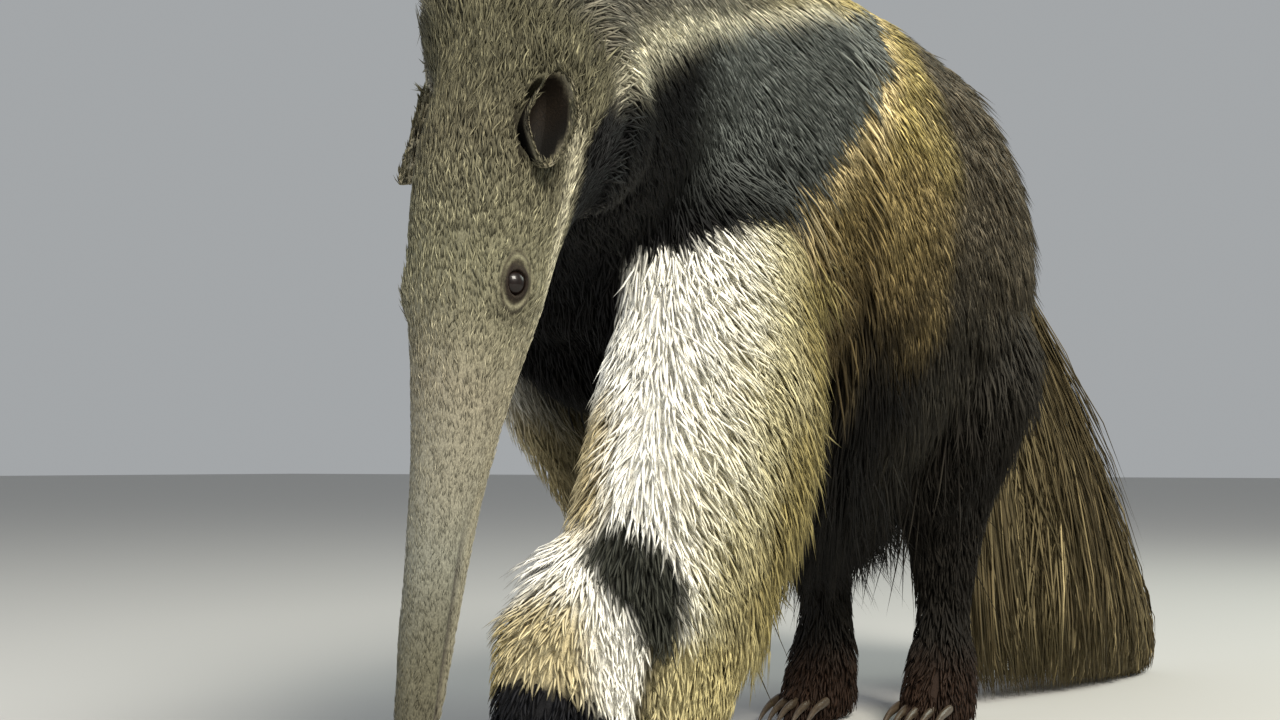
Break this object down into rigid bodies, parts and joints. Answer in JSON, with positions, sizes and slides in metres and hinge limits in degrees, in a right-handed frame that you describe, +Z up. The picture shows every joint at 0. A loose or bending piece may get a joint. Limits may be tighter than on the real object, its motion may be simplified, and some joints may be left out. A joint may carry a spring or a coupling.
{
  "type": "giant anteater",
  "caption": "Still, life-size giant anteater in a walking stance, head hanging low, bushy tail laid on the ground.",
  "frame": {"origin": "middle of the bounding box, on the ground under the animal", "axes": "+X forward to the head, +Y the animal's left, +Z up"},
  "size_m": [1.4735, 0.3594, 0.7183],
  "materials": {
    "face_fur": "short grizzled hair",
    "mane_fur": "coarse grizzled hair",
    "stripe_fur": "dense black hair",
    "flank_fur": "long grizzled brown hair",
    "rump_fur": "long dark hair",
    "foreleg_fur": "cream hair",
    "hindleg_fur": "black hair",
    "tail_hair": "very long coarse hair",
    "claw_horn": "worn horn",
    "eye": "wet",
    "ear_skin": "thin skin with short hair"
  },
  "bodies": {
    "root": {"upper_arm_foreleg_left": "foreleg_fur", "forearm_foreleg_left": "foreleg_fur", "hand_foreleg_left": "foreleg_fur", "claw_second_hand_left": "claw_horn", "claw_long_hand_left": "claw_horn", "claw_outer_hand_left": "claw_horn", "upper_arm_foreleg_right": "foreleg_fur", "forearm_foreleg_right": "foreleg_fur", "hand_foreleg_right": "foreleg_fur", "claw_second_hand_right": "claw_horn", "claw_long_hand_right": "claw_horn", "claw_outer_hand_right": "claw_horn", "thigh_hindleg_left": "hindleg_fur", "shank_hindleg_left": "hindleg_fur", "foot_hindleg_left": "hindleg_fur", "claw_inner_foot_left": "claw_horn", "claw_second_foot_left": "claw_horn", "claw_middle_foot_left": "claw_horn", "claw_fourth_foot_left": "claw_horn", "claw_outer_foot_left": "claw_horn", "thigh_hindleg_right": "hindleg_fur", "shank_hindleg_right": "hindleg_fur", "foot_hindleg_right": "hindleg_fur", "claw_inner_foot_right": "claw_horn", "claw_second_foot_right": "claw_horn", "claw_middle_foot_right": "claw_horn", "claw_fourth_foot_right": "claw_horn", "claw_outer_foot_right": "claw_horn", "tail_tip": "tail_hair", "tail_middle": "tail_hair", "tail_base": "tail_hair", "rump": "rump_fur", "belly_and_back": "flank_fur", "chest_and_shoulders": "stripe_fur", "neck": "mane_fur", "cranium": "face_fur", "snout": "face_fur", "muzzle": "face_fur", "ear_left": "ear_skin", "eye_left": "eye", "ear_right": "ear_skin", "eye_right": "eye"}
  },
  "joints": []
}
